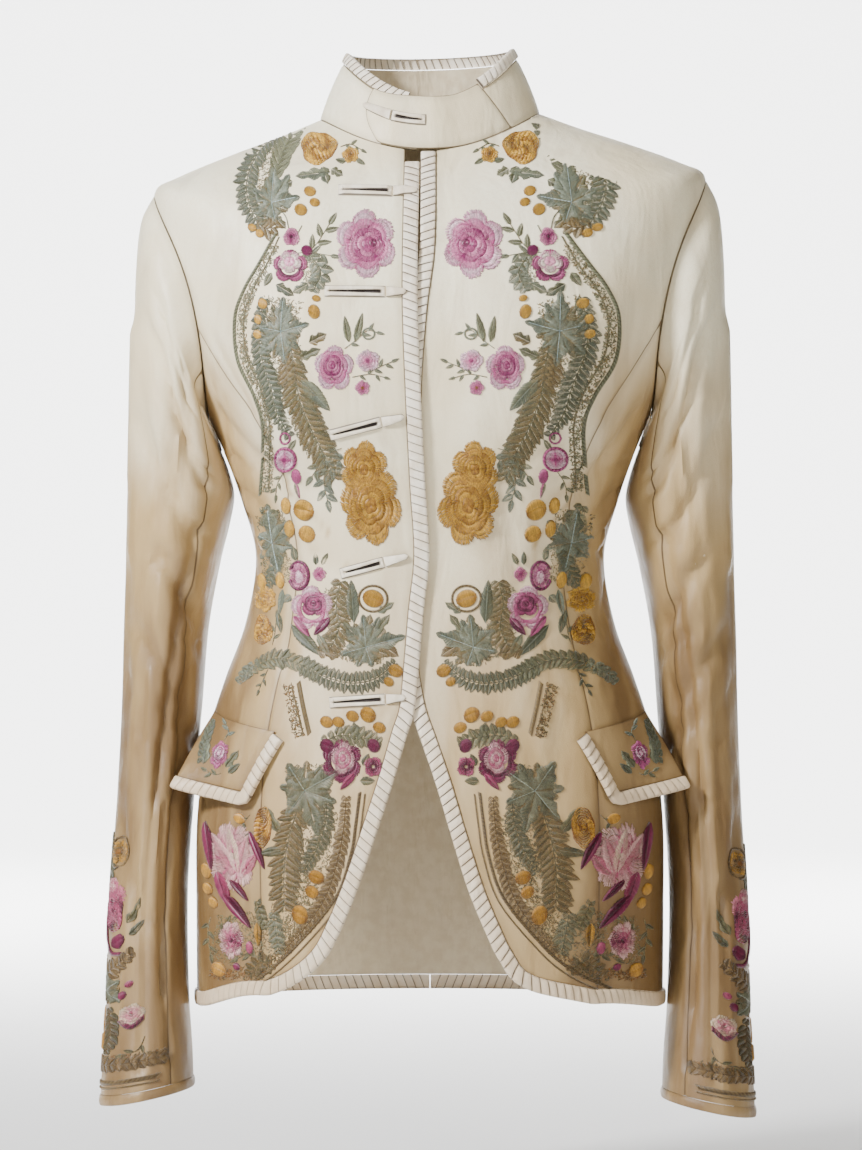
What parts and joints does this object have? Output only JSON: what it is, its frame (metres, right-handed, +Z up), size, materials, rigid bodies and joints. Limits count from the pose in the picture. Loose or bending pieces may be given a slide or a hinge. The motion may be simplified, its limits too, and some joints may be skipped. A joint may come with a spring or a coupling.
{
  "type": "leather jacket",
  "caption": "Fitted embroidered leather jacket, filled out as worn, with a stand collar and strap, cutaway fronts with pleated trim, bound buttonholes, pocket flaps and long sleeves.",
  "frame": {"origin": "middle of the neck seam, where the jacket rests on the wearer", "axes": "+Z up, -Y out of the jacket's front, +X towards the wearer's left"},
  "size_m": [0.45, 0.2255, 0.7338],
  "materials": {
    "leather": "satin",
    "trim": "satin"
  },
  "bodies": {
    "root": {"front_L": "leather", "front_R": "leather", "side_front_L": "leather", "side_front_R": "leather", "side_back_L": "leather", "side_back_R": "leather", "back_L": "leather", "back_R": "leather", "upper_sleeve_L": "leather", "upper_sleeve_R": "leather", "under_sleeve_L": "leather", "under_sleeve_R": "leather", "pocket_flap_L": "leather", "pocket_flap_R": "leather", "collar_stand": "leather", "collar_strap": "leather", "front_trim_L": "trim", "front_trim_R": "trim", "back_hem_trim_L": "trim", "back_hem_trim_R": "trim", "cuff_rim_L": "trim", "cuff_rim_R": "trim", "flap_trim_L": "trim", "flap_trim_R": "trim", "collar_trim": "trim", "buttonhole_1": "trim", "buttonhole_2": "trim", "buttonhole_3": "trim", "buttonhole_4": "trim", "buttonhole_5": "trim", "tongue_1": "trim", "tongue_2": "trim", "tongue_3": "trim", "tongue_4": "trim", "tongue_5": "trim", "buttonhole_strap": "trim", "tongue_strap": "trim"}
  },
  "joints": []
}
